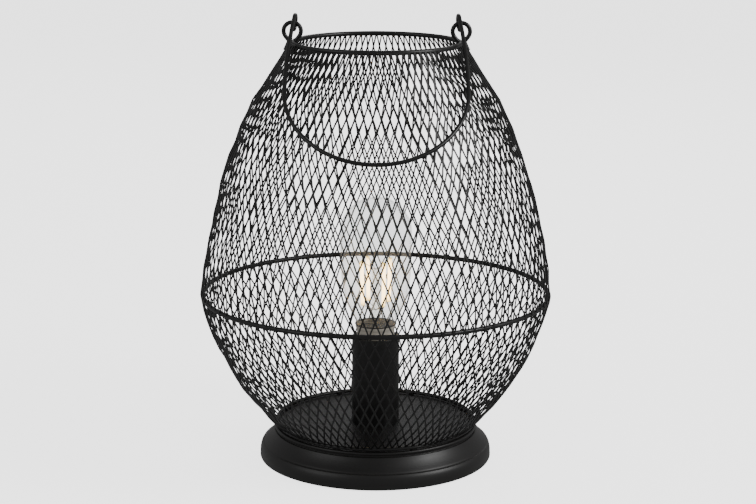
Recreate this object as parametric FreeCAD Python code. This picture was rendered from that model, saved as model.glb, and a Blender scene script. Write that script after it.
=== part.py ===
import FreeCAD, Part
import math
import os

# Black wire-mesh lantern table lamp, in millimetres.
# Origin: centre of the foot, on the surface the lamp stands on. +Z is up, the two eyes of the
# handle stand at -X and +X, and the handle leans on the mesh at -Y, the front.

# ---- driving dimensions -------------------------------------------------------------------

# fits and clearances
FIT_GAP = 0.3              # between pieces that move past each other
SEAT_GAP = 0.05            # between round pieces that are welded or clamped together
HOLE_GAP = 0.25            # radial play of a shank in its hole

# plinth: a moulded disc, hollow below
PLINTH_R = 103.4           # widest, near the bottom
PLINTH_TOP_Z = 30.0
PLINTH_WALL = 2.4
RIM_Z = 0.9                # the rim clears the table by this
BAND_TAPER = 2.4           # the convex band's top is this much inside the widest radius
BAND_TOP_Z = 13.8
BAND_BULGE = 0.5
STEP_W = 1.7               # small step above the band
STEP_H = 0.9
COVE_W = 8.7               # hollow slope between step and bead
COVE_DEPTH = 0.8
GROOVE_W = 1.0             # groove below the bead
BEAD_H = 3.0               # half-round bead at the top edge
BEAD_INSET = 0.2           # from the top of the slope
RIM_CHAMFER = 1.0

# bottom cover, its screws and the feet
COVER_T = 1.2
COVER_EDGE_GAP = 0.4
SCREW_COUNT = 3
SCREW_INSET = 20.6         # from the inside of the plinth's wall
SCREW_R = 1.75
SCREW_L = 12.0
SCREW_HEAD_R = 3.6
SCREW_HEAD_H = 1.3
BOSS_R = 4.5
FOOT_COUNT = 4
FOOT_INSET = 10.6          # from the inside of the plinth's wall
FOOT_R = 7.5
FOOT_H = 1.9

# cord bushing in the back of the plinth
BUSHING_BORE_R = 3.2
BUSHING_BODY_R = 3.9
BUSHING_FLANGE_R = 4.8
BUSHING_FLANGE_T = 1.4
BUSHING_Z = 8.4

# threaded nipple with its nuts and washers
NIPPLE_R = 4.95
NIPPLE_BORE_R = 3.6
NIPPLE_BELOW = 8.0         # length that hangs below the plinth's top plate
NUT_AF = 14.0
NUT_H = 3.6
WASHER_R = 9.0
WASHER_T = 1.2

# sleeve round the lampholder
SLEEVE_R = 20.6
SLEEVE_WALL = 1.1
SLEEVE_H = 80.6
SLEEVE_FLOOR_T = 1.5
SLEEVE_LIP = 0.4           # chamfer round the mouth

# lampholder
HOLDER_GAP = 0.5           # between sleeve and lampholder
HOLDER_BODY_H = 38.0
HOLDER_CAP_H = 13.0
HOLDER_WALL = 1.6
HOLDER_DROP = 0.6          # the lampholder's mouth sits this far below the sleeve's
CORE_T = 4.0               # insulating floor in the lampholder
SHELL_WALL = 0.4
CONTACT_W = 7.0
CONTACT_T = 0.6
TERMINAL_R = 2.0
TERMINAL_L = 6.0
TERMINAL_X = 10.5

# bulb
CAP_R = 13.1               # screw cap
CAP_PLAY = 0.3
CAP_H = 18.0
CAP_WALL = 0.6
CAP_TAPER = 1.4            # rolled lower end of the cap
STUD_R = 4.6
STUD_H = 1.6
INSULATOR_H = 4.2
COLLAR_R = 16.8
COLLAR_H = 8.6
GLASS_WALL = 0.8
GLASS_NECK_R = 17.4
GLASS_MAX_R = 32.0
GLASS_H = 118.5            # from the collar to the crown
STEM_R = 3.2
STEM_FLARE_R = 9.0
STEM_H = 54.0
FILAMENT_R = 1.1
FILAMENT_L = 40.0
FILAMENT_COUNT = 4
FILAMENT_CIRCLE_R = 11.5
FILAMENT_LEAN = 1.5
FILAMENT_LIFT = 22.0       # from the collar to the filaments' lower ends
SUPPORT_R = 0.35
SUPPORT_DROP = 6.0         # the lower supports leave the stem this far below the filaments

# basket: three wire rings and two mesh shells
TOP_RING_R = 73.0
TOP_RING_Z = 372.5
TOP_WIRE_R = 1.9
MID_RING_R = 153.4
MID_RING_Z = 150.5
MID_WIRE_R = 1.9
LOW_RING_INSET = 1.9       # from the edge of the plinth's bead
LOW_WIRE_R = 1.5
LOW_RING_LIFT = 3.2        # gap between the plinth and the bottom ring
MESH_T = 1.0
MESH_GAP = 0.1             # weld gap between a mesh and its ring
UPPER_BULGE_H = (0.36036, 0.67568, 0.85586)    # shares of the way up from the middle to the top ring
UPPER_BULGE_R = (0.84328, 0.55100, 0.27114)    # at which the mesh keeps these shares of its widening
LOWER_BULGE_H = (0.56131, 0.77720, 0.93264)    # shares of the way down to the bottom ring
LOWER_BULGE_R = (0.63328, 0.37750, 0.10632)    # and of the widening there
DIAMONDS = 24              # openings round the basket
UPPER_ROWS = 5             # half rows of openings above the middle ring
LOWER_ROWS = 3             # half rows below it
STRAND_W = 3.0
LUG_COUNT = 8
LUG_L = 4.0
LUG_W = 5.0

# eyes for the handle
EYE_WIRE_R = 1.6
EYE_R = 7.5                # to the wire's centre
EYE_CENTRE_H = 10.0        # above the top ring's centre
EYE_LEG_GAP = 0.04

# handle (bail)
BAIL_WIRE_R = 1.6
BAIL_ARC_WIDEN = 4.0       # the round grip end is this much wider than the top ring
BAIL_LEG_L = 85.0          # from the hooks to the start of the grip
HOOK_R = 6.5
HOOK_X_INSET = 2.0         # the hooks sit this far inside the middle of the eyes
HOOK_SWEEP = 305.0         # degrees that each hook runs round
BAIL_REST_GAP = 0.5061     # between the mesh and the handle that leans on it

WIRE_SIDES = 8             # flats that draw a round wire

V = FreeCAD.Vector
UP = V(0, 0, 1)
CORNER = 1 / math.cos(math.pi / WIRE_SIDES)    # a wire's corners stand this much past its flats


# ---- helpers ------------------------------------------------------------------------------

def export(name, shapes):
    """Write one STEP file that holds one solid or a group of separate solids."""
    shape = shapes[0] if len(shapes) == 1 else Part.makeCompound(shapes)
    for solid in shape.Solids:
        if not solid.isValid():
            raise ValueError(name + " has an invalid solid")
    shape.exportStep("parts/" + name + ".step")
    print(name, len(shape.Solids), "solids", round(shape.Volume, 2), "mm3")


def line(a, b):
    return Part.LineSegment(V(*a), V(*b)).toShape()


def arc(a, mid, b):
    return Part.Arc(V(*a), V(*mid), V(*b)).toShape()


def turned(edges):
    """Revolve a closed outline in the XZ plane round the Z axis."""
    face = Part.Face(Part.Wire(edges))
    solid = face.revolve(V(0, 0, 0), UP, 360)
    return Part.Solid(solid.Shells[0]) if solid.ShapeType != "Solid" else solid


def outline(points):
    """Closed outline of straight lines through (radius, height) points."""
    corners = [(r, 0, z) for r, z in points]
    return [line(a, b) for a, b in zip(corners, corners[1:] + corners[:1])]


def cylinder(radius, height, base, axis=UP):
    return Part.makeCylinder(radius, height, V(*base), axis)


def section(radius):
    """Corners of a wire's cross-section, with flats at the radius to the sides, above and below."""
    places = []
    for i in range(WIRE_SIDES):
        a = 2 * math.pi * (i + 0.5) / WIRE_SIDES
        places.append((radius * CORNER * math.cos(a), radius * CORNER * math.sin(a)))
    return places


def wire_end(radius, centre, along):
    """Closed cross-section of a wire at a place, square to its run."""
    turn = FreeCAD.Rotation(UP, along)
    corners = [centre + turn.multVec(V(x, y, 0)) for x, y in section(radius)]
    return Part.makePolygon(corners + corners[:1])


def pipe(radius, edges):
    """Wire that follows a smooth path of edges."""
    path = Part.Wire(edges)
    first = path.Edges[0]
    start = first.FirstParameter
    return path.makePipeShell([wire_end(radius, first.valueAt(start), first.tangentAt(start))], True, False)


def rod(radius, start, end):
    """Straight wire between two places."""
    return Part.Face(wire_end(radius, start, end - start)).extrude(end - start)


def bowed(a, b, bulge, count):
    """Places from a to b on a shallow curve that stands out to the right of the way by bulge."""
    way = math.dist(a, b)
    side = ((b[1] - a[1]) / way, (a[0] - b[0]) / way)
    places = []
    for i in range(count + 1):
        t = i / count
        out = bulge * 4 * t * (1 - t)
        places.append((a[0] + (b[0] - a[0]) * t + side[0] * out, a[1] + (b[1] - a[1]) * t + side[1] * out))
    return places


def rounded(centre, radius, first_angle, last_angle, count):
    """Places on a circular arc, from one angle to another."""
    places = []
    for i in range(count + 1):
        a = math.radians(first_angle + (last_angle - first_angle) * i / count)
        places.append((centre[0] + radius * math.cos(a), centre[1] + radius * math.sin(a)))
    return places


def polar(count, radius, first_angle, z):
    """Evenly spaced places on a circle round the axis."""
    places = []
    for i in range(count):
        a = math.radians(first_angle + i * 360.0 / count)
        places.append(V(radius * math.cos(a), radius * math.sin(a), z))
    return places


# ---- foot ---------------------------------------------------------------------------------

COVER_Z = FOOT_H
PLATE_UNDER_Z = PLINTH_TOP_Z - PLINTH_WALL
BAND_TOP_R = PLINTH_R - BAND_TAPER
STEP_R = BAND_TOP_R - STEP_W
COVE_TOP_R = STEP_R - COVE_W
BEAD_R = COVE_TOP_R - BEAD_INSET
GROOVE_R = BEAD_R - BEAD_H / 2
INNER_R = BAND_TOP_R - PLINTH_WALL
SCREW_CIRCLE_R = INNER_R - SCREW_INSET
FOOT_CIRCLE_R = INNER_R - FOOT_INSET
SCREW_START = 30.0


def plinth_outline():
    """Outer moulding: chamfered rim, convex band, step, cove, groove and bead."""
    bead_mid = (GROOVE_R, PLINTH_TOP_Z - BEAD_H / 2)
    groove_z = PLINTH_TOP_Z - BEAD_H - GROOVE_W
    points = [(PLINTH_R - RIM_CHAMFER, RIM_Z)]
    points += bowed((PLINTH_R, RIM_Z + RIM_CHAMFER), (BAND_TOP_R, BAND_TOP_Z), BAND_BULGE, 3)
    points += bowed((STEP_R, BAND_TOP_Z + STEP_H), (COVE_TOP_R, groove_z), -COVE_DEPTH, 3)
    points += [(GROOVE_R, groove_z)]
    points += rounded(bead_mid, BEAD_H / 2, -90, 90, 4)
    return points


def plinth_shell():
    """Hollow moulded plinth with its screw bosses and its holes."""
    points = plinth_outline() + [
        (0, PLINTH_TOP_Z), (0, PLATE_UNDER_Z), (GROOVE_R - PLINTH_WALL, PLATE_UNDER_Z),
        (STEP_R - PLINTH_WALL, BAND_TOP_Z), (INNER_R, BAND_TOP_Z - 2.0), (INNER_R, RIM_Z),
    ]
    shell = turned(outline(points))
    boss_z = COVER_Z + COVER_T
    bosses = [cylinder(BOSS_R, PLATE_UNDER_Z - boss_z + 0.5, p) for p in
              polar(SCREW_COUNT, SCREW_CIRCLE_R, SCREW_START, boss_z)]
    shell = shell.fuse(bosses)
    cuts = [cylinder(SCREW_R, SCREW_L, p) for p in
            polar(SCREW_COUNT, SCREW_CIRCLE_R, SCREW_START, boss_z - 1.0)]
    cuts.append(cylinder(NIPPLE_R + HOLE_GAP, PLINTH_WALL + 2, (0, 0, PLATE_UNDER_Z - 1)))
    cuts.append(cylinder(BUSHING_BODY_R + SEAT_GAP, PLINTH_R, (0, INNER_R - 10, BUSHING_Z), V(0, 1, 0)))
    return shell.cut(cuts).removeSplitter()


def bottom_cover():
    plate = cylinder(INNER_R - COVER_EDGE_GAP, COVER_T, (0, 0, COVER_Z))
    holes = [cylinder(SCREW_R + HOLE_GAP, COVER_T + 2, p) for p in
             polar(SCREW_COUNT, SCREW_CIRCLE_R, SCREW_START, COVER_Z - 1)]
    return plate.cut(holes)


def cover_screws():
    screws = []
    for p in polar(SCREW_COUNT, SCREW_CIRCLE_R, SCREW_START, COVER_Z):
        head = Part.makeCone(SCREW_HEAD_R - 0.7, SCREW_HEAD_R, SCREW_HEAD_H, p - UP * SCREW_HEAD_H)
        shank = cylinder(SCREW_R - SEAT_GAP, SCREW_L - 2.0, p)
        slot_corner = p - V(SCREW_HEAD_R * 0.6, 0.4, SCREW_HEAD_H + 0.1)
        slot = Part.makeBox(SCREW_HEAD_R * 1.2, 0.8, 0.7, slot_corner)
        cross = slot.copy()
        cross.rotate(p, UP, 90)
        screws.append(head.fuse(shank).cut([slot, cross]))
    return screws


def rubber_feet():
    feet = []
    for p in polar(FOOT_COUNT, FOOT_CIRCLE_R, 45.0, 0.0):
        foot = Part.makeCone(FOOT_R - 0.8, FOOT_R, FOOT_H, p)
        feet.append(foot)
    return feet


def cord_bushing(plinth):
    """Insulating bushing that the supply cord passes through, clamped on the plinth's wall."""
    y_axis = V(0, 1, 0)
    inner_end = INNER_R - BUSHING_FLANGE_T
    outer_end = PLINTH_R + BUSHING_FLANGE_T
    body = cylinder(BUSHING_BODY_R, outer_end - inner_end, (0, inner_end, BUSHING_Z), y_axis)
    inner_flange = cylinder(BUSHING_FLANGE_R, BUSHING_FLANGE_T, (0, inner_end, BUSHING_Z), y_axis)
    outer_flange = cylinder(BUSHING_FLANGE_R, outer_end - INNER_R, (0, INNER_R, BUSHING_Z), y_axis)
    bore = cylinder(BUSHING_BORE_R, PLINTH_R, (0, inner_end - 10, BUSHING_Z), y_axis)
    solid = outer_flange.fuse([body, inner_flange]).cut([plinth, bore])
    return max(solid.Solids, key=lambda piece: piece.Volume)


# ---- threaded nipple, nuts and washers ------------------------------------------------------

SLEEVE_Z = PLINTH_TOP_Z
SLEEVE_TOP_Z = SLEEVE_Z + SLEEVE_H
UPPER_WASHER_Z = SLEEVE_Z + SLEEVE_FLOOR_T
UPPER_NUT_Z = UPPER_WASHER_Z + WASHER_T
LOWER_WASHER_Z = PLATE_UNDER_Z - WASHER_T
LOWER_NUT_Z = LOWER_WASHER_Z - NUT_H
HOLDER_TOP_Z = SLEEVE_TOP_Z - HOLDER_DROP
HOLDER_BODY_Z = HOLDER_TOP_Z - HOLDER_BODY_H
HOLDER_CAP_Z = HOLDER_BODY_Z - HOLDER_CAP_H
HOLDER_R = SLEEVE_R - SLEEVE_WALL - HOLDER_GAP


def threaded_nipple():
    bottom = PLATE_UNDER_Z - NIPPLE_BELOW
    top = HOLDER_CAP_Z + HOLDER_CAP_H * 0.7
    tube = cylinder(NIPPLE_R, top - bottom, (0, 0, bottom))
    return tube.cut(cylinder(NIPPLE_BORE_R, top - bottom + 2, (0, 0, bottom - 1)))


def hex_nuts():
    """One nut below the plinth's top plate, one inside the sleeve."""
    nuts = []
    for z in (LOWER_NUT_Z, UPPER_NUT_Z):
        radius = NUT_AF / 2 / math.cos(math.radians(30))
        places = polar(6, radius, 0.0, z)
        hexagon = Part.Face(Part.makePolygon(places + places[:1]))
        block = hexagon.extrude(UP * NUT_H)
        nuts.append(block.cut(cylinder(NIPPLE_R + SEAT_GAP, NUT_H + 2, (0, 0, z - 1))))
    return nuts


def washers():
    rings = []
    for z in (LOWER_WASHER_Z, UPPER_WASHER_Z):
        disc = cylinder(WASHER_R, WASHER_T, (0, 0, z))
        rings.append(disc.cut(cylinder(NIPPLE_R + HOLE_GAP, WASHER_T + 2, (0, 0, z - 1))))
    return rings


# ---- sleeve and lampholder ------------------------------------------------------------------

def sleeve_tube():
    """Tube with a closed foot, clamped on the plinth, and a chamfered mouth."""
    inner = SLEEVE_R - SLEEVE_WALL
    hole = NIPPLE_R + HOLE_GAP
    return turned(outline([
        (hole, SLEEVE_Z), (SLEEVE_R, SLEEVE_Z), (SLEEVE_R, SLEEVE_TOP_Z - SLEEVE_LIP),
        (SLEEVE_R - SLEEVE_LIP, SLEEVE_TOP_Z), (inner, SLEEVE_TOP_Z), (inner, UPPER_WASHER_Z),
        (hole, UPPER_WASHER_Z),
    ]))


CORE_Z = HOLDER_BODY_Z + 4.0
CORE_TOP_Z = CORE_Z + CORE_T
CORE_R = HOLDER_R - HOLDER_WALL
SHELL_IN_R = CAP_R + CAP_PLAY
SHELL_OUT_R = SHELL_IN_R + SHELL_WALL
COLLAR_Z = HOLDER_TOP_Z - 0.6
CAP_Z = COLLAR_Z - CAP_H
INSULATOR_Z = CAP_Z - INSULATOR_H
TIP_Z = INSULATOR_Z - FIT_GAP - STUD_H


def lampholder_cap():
    """Dome that screws on the nipple and carries the lampholder's body."""
    neck_r = NIPPLE_R + 3.0
    top = HOLDER_BODY_Z
    bottom = HOLDER_CAP_Z
    hole_r = NIPPLE_R + SEAT_GAP
    return turned(outline([
        (hole_r, bottom), (neck_r, bottom), (neck_r, bottom + 4.0), (HOLDER_R, top - 3.0), (HOLDER_R, top),
        (CORE_R, top), (CORE_R, top - 2.4), (neck_r, bottom + 6.5), (hole_r, bottom + 6.5),
    ]))


def lampholder_body():
    tube = cylinder(HOLDER_R, HOLDER_BODY_H, (0, 0, HOLDER_BODY_Z))
    return tube.cut(cylinder(CORE_R, HOLDER_BODY_H + 2, (0, 0, HOLDER_BODY_Z - 1)))


def terminal_places():
    return [V(side * TERMINAL_X, 0, CORE_Z) for side in (-1, 1)]


def lampholder_core():
    """Insulating insert: a floor and a cup round the screw shell."""
    cup_r = SHELL_OUT_R + 1.8
    cup_h = (HOLDER_TOP_Z - CORE_TOP_Z) * 0.6
    floor = cylinder(CORE_R - SEAT_GAP, CORE_T, (0, 0, CORE_Z))
    cup = cylinder(cup_r, cup_h, (0, 0, CORE_TOP_Z))
    room = cylinder(SHELL_OUT_R + SEAT_GAP, cup_h + 1, (0, 0, CORE_TOP_Z))
    holes = [cylinder(TERMINAL_R, CORE_T * 0.8, p) for p in terminal_places()]
    return floor.fuse(cup).cut([room] + holes)


def terminal_screws():
    screws = []
    for p in terminal_places():
        shank = cylinder(TERMINAL_R - SEAT_GAP, TERMINAL_L, p - UP * (TERMINAL_L - CORE_T * 0.7))
        low = p - UP * (TERMINAL_L - CORE_T * 0.7)
        head = cylinder(TERMINAL_R * 1.7, 1.6, low)
        slot = Part.makeBox(TERMINAL_R * 4, 0.8, 0.8, low + V(-TERMINAL_R * 2, -0.4, -0.1))
        screws.append(shank.fuse(head).cut(slot))
    return screws


def screw_shell():
    """Metal sleeve that the bulb's cap screws into."""
    height = COLLAR_Z - 1.5 - CORE_TOP_Z
    tube = cylinder(SHELL_OUT_R, height, (0, 0, CORE_TOP_Z))
    return tube.cut(cylinder(SHELL_IN_R, height + 2, (0, 0, CORE_TOP_Z - 1)))


def centre_contact():
    """Bent spring strip under the bulb's tip."""
    high = TIP_Z - FIT_GAP
    low = CORE_TOP_Z
    reach = SHELL_IN_R - 3.0
    t = CONTACT_T
    half = STUD_R * 0.7
    corners = [
        (-reach, low), (-half - 2, low), (-half, high - t), (half, high - t), (half, high), (-half - t, high),
        (-half - 2 - t, low + t), (-reach, low + t),
    ]
    points = [V(x, -CONTACT_W / 2, z) for x, z in corners]
    strip = Part.Face(Part.makePolygon(points + points[:1]))
    return strip.extrude(V(0, CONTACT_W, 0))


# ---- bulb -----------------------------------------------------------------------------------

def bulb_tip():
    """Round centre contact of the bulb."""
    return Part.makeCone(STUD_R * 0.8, STUD_R, STUD_H, V(0, 0, TIP_Z))


def bulb_insulator():
    """Glass ring between the tip and the cap."""
    return Part.makeCone(STUD_R + 0.6, CAP_R - CAP_TAPER, INSULATOR_H, V(0, 0, INSULATOR_Z))


def bulb_cap():
    """Screw cap, a thin tube drawn in at its lower end."""
    inner_r = CAP_R - CAP_WALL
    low_r = CAP_R - CAP_TAPER
    return turned(outline([
        (low_r - CAP_WALL, CAP_Z), (low_r, CAP_Z), (CAP_R, CAP_Z + CAP_TAPER), (CAP_R, COLLAR_Z),
        (inner_r, COLLAR_Z), (inner_r, CAP_Z + CAP_TAPER),
    ]))


GLASS_Z = COLLAR_Z + COLLAR_H


def bulb_collar():
    """Collar that joins the cap and the glass."""
    bevel = 1.2
    inner_r = CAP_R - CAP_WALL
    return turned(outline([
        (inner_r, COLLAR_Z), (COLLAR_R - bevel, COLLAR_Z), (COLLAR_R, COLLAR_Z + bevel),
        (COLLAR_R, GLASS_Z), (inner_r, GLASS_Z),
    ]))


def glass_outline(inset):
    """Half outline of the bulb from its foot to its crown, drawn in by inset."""
    crown_z = GLASS_Z + GLASS_H - GLASS_MAX_R
    body_h = crown_z - GLASS_Z
    shares = ((0.65, 0.155), (0.77, 0.24), (0.87, 0.335), (0.965, 0.55), (0.995, 0.8))
    points = [(GLASS_NECK_R - inset, GLASS_Z), (GLASS_NECK_R - inset, GLASS_Z + body_h * 0.06)]
    points += [(GLASS_MAX_R * r - inset, GLASS_Z + body_h * h) for r, h in shares]
    return points + rounded((0, crown_z), GLASS_MAX_R - inset, 0, 90, 5)


def bulb_glass():
    """Thin blown envelope with a straight neck that stands on the collar."""
    return turned(outline(glass_outline(0.0) + glass_outline(GLASS_WALL)[::-1]))


STEM_TOP_Z = GLASS_Z + STEM_H
FILAMENT_LOW_Z = GLASS_Z + FILAMENT_LIFT


def bulb_stem():
    """Glass pillar inside the bulb: a flared foot that closes the neck, and a rod."""
    foot_r = GLASS_NECK_R - GLASS_WALL - SEAT_GAP
    return turned(outline([
        (0, GLASS_Z), (foot_r, GLASS_Z), (foot_r, GLASS_Z + 1.6), (STEM_FLARE_R, GLASS_Z + 4.0),
        (STEM_R, GLASS_Z + 14.0), (STEM_R, STEM_TOP_Z - 1.5), (STEM_R - 1.2, STEM_TOP_Z), (0, STEM_TOP_Z),
    ]))


def filament_ends():
    """Low and high end of each filament; they lean outwards a little at the top."""
    lows = polar(FILAMENT_COUNT, FILAMENT_CIRCLE_R - FILAMENT_LEAN / 2, 39.0, FILAMENT_LOW_Z)
    highs = polar(FILAMENT_COUNT, FILAMENT_CIRCLE_R + FILAMENT_LEAN / 2, 39.0, FILAMENT_LOW_Z + FILAMENT_L)
    return list(zip(lows, highs))


def bulb_filaments():
    return [rod(FILAMENT_R, low, high) for low, high in filament_ends()]


def support_wires(stem, filaments):
    """Lead wires from the stem to both ends of every filament."""
    wires = []
    for low, high in filament_ends():
        for end, stem_z in ((low, FILAMENT_LOW_Z - SUPPORT_DROP), (high, STEM_TOP_Z - 1.0)):
            wire = rod(SUPPORT_R, V(0, 0, stem_z), end).cut([stem] + filaments)
            wires.append(max(wire.Solids, key=lambda piece: piece.Length))
    return wires


# ---- basket ---------------------------------------------------------------------------------

LOW_RING_R = BEAD_R - LOW_RING_INSET
LOW_RING_Z = PLINTH_TOP_Z + LOW_RING_LIFT + LOW_WIRE_R
TOP_MESH_LEAN = 31.0       # degrees that the mesh leans from the vertical at the top ring
MID_MESH_LEAN = 20.0       # at the middle ring
LOW_MESH_LEAN = 38.0       # and at the bottom ring
MESH_BORDER = 1.5          # solid edge along each ring
MESH_SEAT_R = MID_RING_R + (MID_WIRE_R * CORNER + MESH_GAP) / math.cos(math.radians(MID_MESH_LEAN))


def wire_ring(ring_r, wire_r, z):
    return turned(outline([(ring_r + x, z + y) for x, y in section(wire_r)]))


def seat_on_ring(ring_r, wire_r, z, lean):
    """Place outside a ring's wire where a mesh of that lean touches it."""
    a = math.radians(lean)
    reach = wire_r * CORNER + MESH_GAP
    return V(ring_r + reach * math.cos(a), 0, z + reach * math.sin(a))


def mesh_curve(side, ring_r, ring_z, end, bulge_h, bulge_r):
    """Smooth half outline of a mesh's inside, from the middle ring to its end on another ring."""
    points = [V(MESH_SEAT_R, 0, MID_RING_Z + side * SEAT_GAP)]
    for up, out in zip(bulge_h, bulge_r):
        points.append(V(ring_r + (MID_RING_R - ring_r) * out, 0, MID_RING_Z + (ring_z - MID_RING_Z) * up))
    curve = Part.BSplineCurve()
    curve.interpolate(points + [end])
    return curve


def upper_curve():
    end = seat_on_ring(TOP_RING_R, TOP_WIRE_R, TOP_RING_Z, TOP_MESH_LEAN)
    return mesh_curve(1, TOP_RING_R, TOP_RING_Z, end, UPPER_BULGE_H, UPPER_BULGE_R)


def lower_curve():
    end = seat_on_ring(LOW_RING_R, LOW_WIRE_R, LOW_RING_Z, -LOW_MESH_LEAN)
    return mesh_curve(-1, LOW_RING_R, LOW_RING_Z, end, LOWER_BULGE_H, LOWER_BULGE_R)


def run_and_normal(curve, place, side):
    """Unit vectors along the curve and square to it, away from the lamp's axis."""
    along = V(*curve.tangent(curve.parameter(place))[0])
    along.normalize()
    return along, V(along.z * side, 0, -along.x * side)


def mesh_corners(curve, rows, side):
    """Inner and outer places where the strands cross, on the edges between the facets."""
    inner = curve.discretize(rows + 1)
    outer = [p + run_and_normal(curve, p, side)[1] * MESH_T for p in inner]
    widen = 1 / math.cos(math.pi / (2 * DIAMONDS))
    return [[V(p.x * widen, 0, p.z) for p in places] for places in (inner, outer)]


def mesh_shell(curve, rows, side):
    """Shell of flat facets between the crossings of the strands, which run straight."""
    inner, outer = mesh_corners(curve, rows, side)
    loops = [polar(2 * DIAMONDS, p.x, 0.0, p.z) for p in inner + outer[::-1]]
    facets = []
    for low, high in zip(loops, loops[1:] + loops[:1]):
        for i in range(2 * DIAMONDS):
            corners = [low[i], low[i - 1], high[i - 1], high[i]]
            facets.append(Part.Face(Part.makePolygon(corners + corners[:1])))
    solid = Part.Solid(Part.Shell(facets))
    return solid if solid.Volume > 0 else solid.reversed()


def diamond(curve, side, centre, row_h, angle, half):
    """Prism that cuts one opening. half is 0 for a whole diamond, 1 or -1 for its far or near half."""
    along, normal = run_and_normal(curve, centre, side)
    across = centre.x * math.pi / DIAMONDS
    shrink = 1 - STRAND_W / 2 * math.hypot(across, row_h) / (across * row_h)
    wide = across * shrink
    high = row_h * shrink
    if half == 0:
        corners = [(0, high), (wide, 0), (0, -high), (-wide, 0)]
    else:
        narrow = wide * (1 - MESH_BORDER / high)
        corners = [(0, half * high), (narrow, half * MESH_BORDER), (-narrow, half * MESH_BORDER)]
    low = centre - normal * 9.0
    places = [low + along * v + V(0, w, 0) for w, v in corners]
    prism = Part.Face(Part.makePolygon(places + places[:1])).extrude(normal * 18.0)
    prism.rotate(V(0, 0, 0), UP, angle)
    return prism


def mesh_panel(curve, rows, side):
    """Shell of diamond openings between the middle ring and an end ring."""
    shell = mesh_shell(curve, rows, side)
    row_h = curve.length() / rows
    step = 360.0 / DIAMONDS
    cutters = []
    for level, centre in enumerate(curve.discretize(rows + 1)):
        half = 1 if level == 0 else (-1 if level == rows else 0)
        shift = (level + 1) % 2 * step / 2
        for i in range(DIAMONDS):
            cutters.append(diamond(curve, side, centre, row_h, i * step + shift, half))
    net = shell.cut(cutters)
    return max(net.Solids, key=lambda piece: piece.Volume)


def spacer_lugs():
    """Short blocks that carry the basket's bottom ring clear of the plinth."""
    lugs = []
    for i in range(LUG_COUNT):
        inner_end = GROOVE_R - LUG_L
        lug = Part.makeBox(LUG_L, LUG_W, LOW_RING_LIFT, V(inner_end, -LUG_W / 2, PLINTH_TOP_Z))
        lug.rotate(V(0, 0, 0), UP, (i + 0.5) * 360.0 / LUG_COUNT)
        lugs.append(lug)
    return lugs


# ---- eyes and handle ------------------------------------------------------------------------

EYE_Z = TOP_RING_Z + EYE_CENTRE_H
HINGE_Z = EYE_Z + EYE_R


def wire_eye(side, seats):
    """Pear-shaped eye of bent wire whose two legs stand on the top ring."""
    centre = V(side * TOP_RING_R, 0, EYE_Z)
    foot_x = EYE_WIRE_R * CORNER + EYE_LEG_GAP / 2
    drop = EYE_Z - TOP_RING_Z - TOP_WIRE_R * 0.6
    reach = math.hypot(foot_x, drop)
    turn = math.atan2(-drop, foot_x) + math.acos(EYE_R / reach)
    touch = V(EYE_R * math.cos(turn), 0, EYE_R * math.sin(turn))
    mirror = V(-touch.x, 0, touch.z)
    foot_a = V(foot_x, 0, -drop)
    foot_b = V(-foot_x, 0, -drop)
    edges = [
        line(centre + foot_a, centre + touch),
        arc(centre + touch, centre + V(0, 0, EYE_R), centre + mirror),
        line(centre + mirror, centre + foot_b),
    ]
    eye = pipe(EYE_WIRE_R, edges).cut(seats)
    return max(eye.Solids, key=lambda piece: piece.Volume)


def handle_path():
    """Centre line of the upright handle: hook, leg, round grip end, leg and hook."""
    hook_x = TOP_RING_R - HOOK_X_INSET
    bow = HOOK_X_INSET + BAIL_ARC_WIDEN
    arc_r = hook_x + bow
    leg_r = (BAIL_LEG_L ** 2 + bow ** 2) / (2 * bow)
    lean = math.asin(BAIL_LEG_L / leg_r)
    front = V(0, -1, 0)
    grip_z = HINGE_Z - BAIL_LEG_L
    halves = []
    for side in (1, -1):
        down = V(side * math.sin(lean), 0, -math.cos(lean))
        centre = V(side * hook_x, 0, HINGE_Z)
        hook = []
        for share in (1.0, 0.5, 0.0):
            a = math.radians(HOOK_SWEEP * share)
            hook.append(centre + front * HOOK_R * math.cos(a) - down * HOOK_R * math.sin(a))
        leg_end = V(side * arc_r, -HOOK_R, grip_z)
        mid_a = lean / 2
        leg_x = arc_r - leg_r + leg_r * math.cos(mid_a)
        leg_mid = V(side * leg_x, -HOOK_R, grip_z + leg_r * math.sin(mid_a))
        halves.append((hook, leg_mid, leg_end))
    (hook_a, mid_a, end_a), (hook_b, mid_b, end_b) = halves
    return [
        arc(*hook_a),
        arc(hook_a[2], mid_a, end_a),
        arc(end_a, V(0, -HOOK_R, grip_z - arc_r), end_b),
        arc(end_b, mid_b, hook_b[2]),
        arc(hook_b[2], hook_b[1], hook_b[0]),
    ]


def room_at(place, wall):
    """Distance between a place and a wall turned round the lamp's axis; negative inside the wall."""
    spot = V(math.hypot(place.x, place.y), 0, place.z)
    nearest = []
    for low, high in zip(wall, wall[1:]):
        way = high - low
        share = max(0.0, min(1.0, (spot - low).dot(way) / way.dot(way)))
        foot = low + way * share
        nearest.append(((spot - foot).Length, foot.x))
    distance, wall_r = min(nearest)
    inside = spot.x < wall_r and spot.z < wall[-1].z
    return -distance if inside else distance


def resting_tilt(path):
    """Degrees between the vertical and the handle that leans on the upper mesh."""
    wall = mesh_corners(upper_curve(), UPPER_ROWS, 1)[1]
    places = path[1].discretize(12) + path[2].discretize(49)
    low, high = 0.0, 90.0
    while high - low > 1e-7:
        tilt = (low + high) / 2
        turn = FreeCAD.Rotation(V(1, 0, 0), -tilt)
        hinge = V(0, 0, HINGE_Z)
        room = min(room_at(hinge + turn.multVec(p - hinge), wall) for p in places)
        low, high = (low, tilt) if room > BAIL_WIRE_R + BAIL_REST_GAP else (tilt, high)
    return high


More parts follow.
